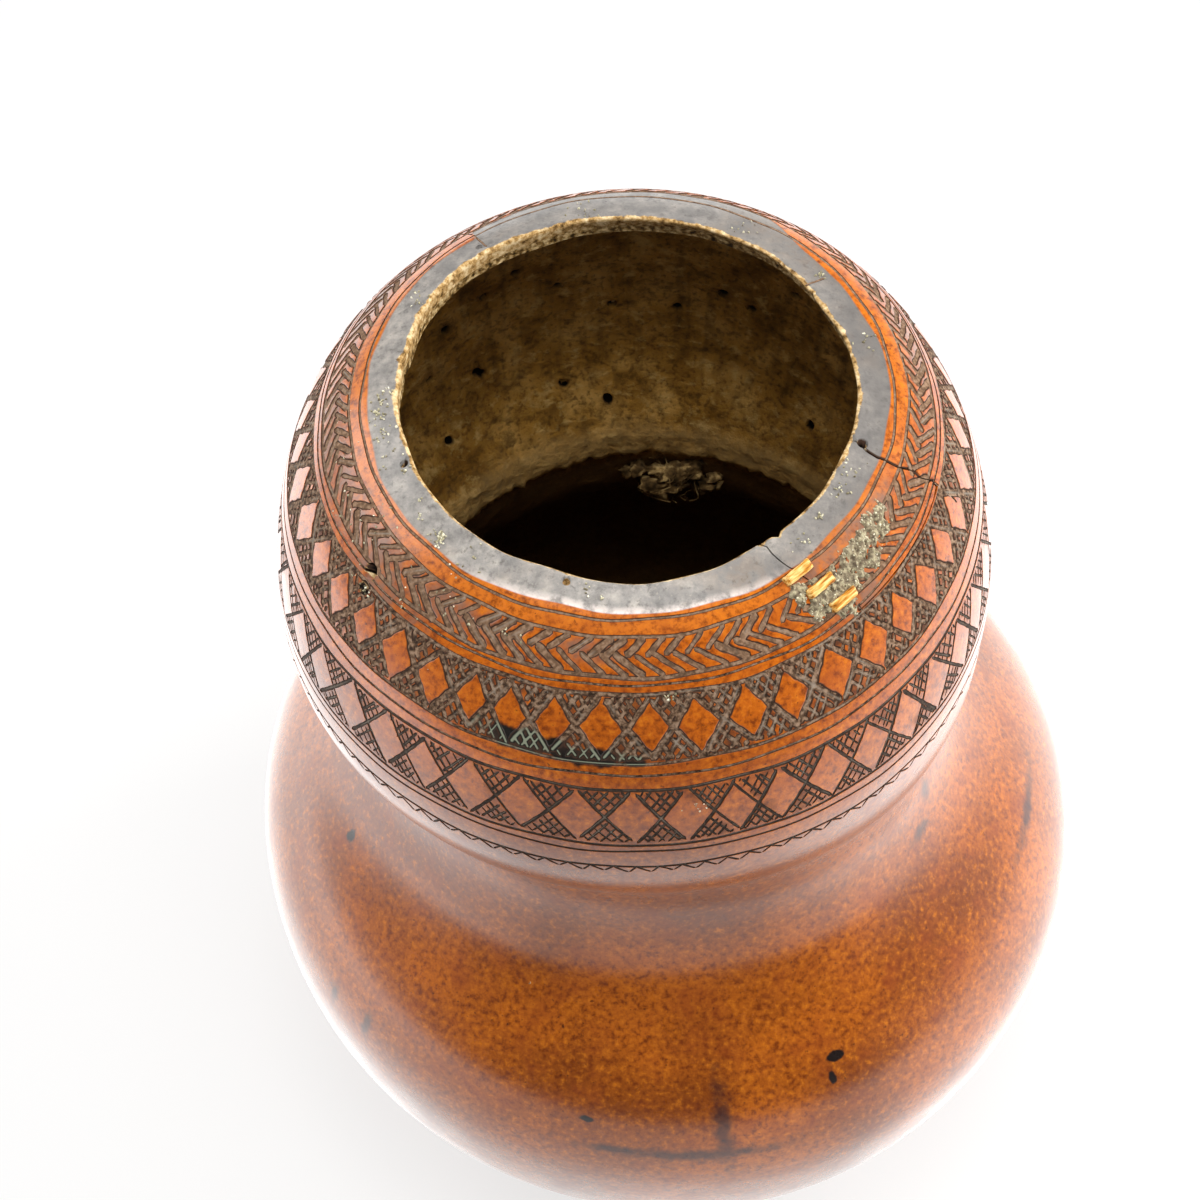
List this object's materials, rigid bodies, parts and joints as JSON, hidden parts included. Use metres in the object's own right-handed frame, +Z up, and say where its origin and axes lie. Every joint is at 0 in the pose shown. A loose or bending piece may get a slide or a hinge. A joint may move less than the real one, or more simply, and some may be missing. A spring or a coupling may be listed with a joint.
{
  "type": "gourd jug",
  "caption": "Dried double-bulb gourd jug with an open cut mouth, a burnt rim, an engraved upper bulb and a broken rim piece stitched back with cane and gum.",
  "frame": {"origin": "middle of the flat spot that the jug stands on", "axes": "+Z up along the standing jug, -Y towards the side with the clearest engraving, +X to its right"},
  "size_m": [0.2, 0.2, 0.2352],
  "materials": {
    "rind": "oiled and polished hard gourd rind, engraved lines filled dark",
    "pith": "dry corky inner layer of the gourd wall",
    "cane": "split straw-coloured cane",
    "gum": "hardened granular plant gum",
    "fibre": "dry gourd fibre"
  },
  "bodies": {
    "root": {"gourd_shell": "rind", "rim_shard": "rind", "pith_lining": "pith", "cane_stitch_1": "cane", "cane_stitch_2": "cane", "cane_stitch_3": "cane", "gum_patch": "gum", "pith_tuft": "fibre"}
  },
  "joints": []
}
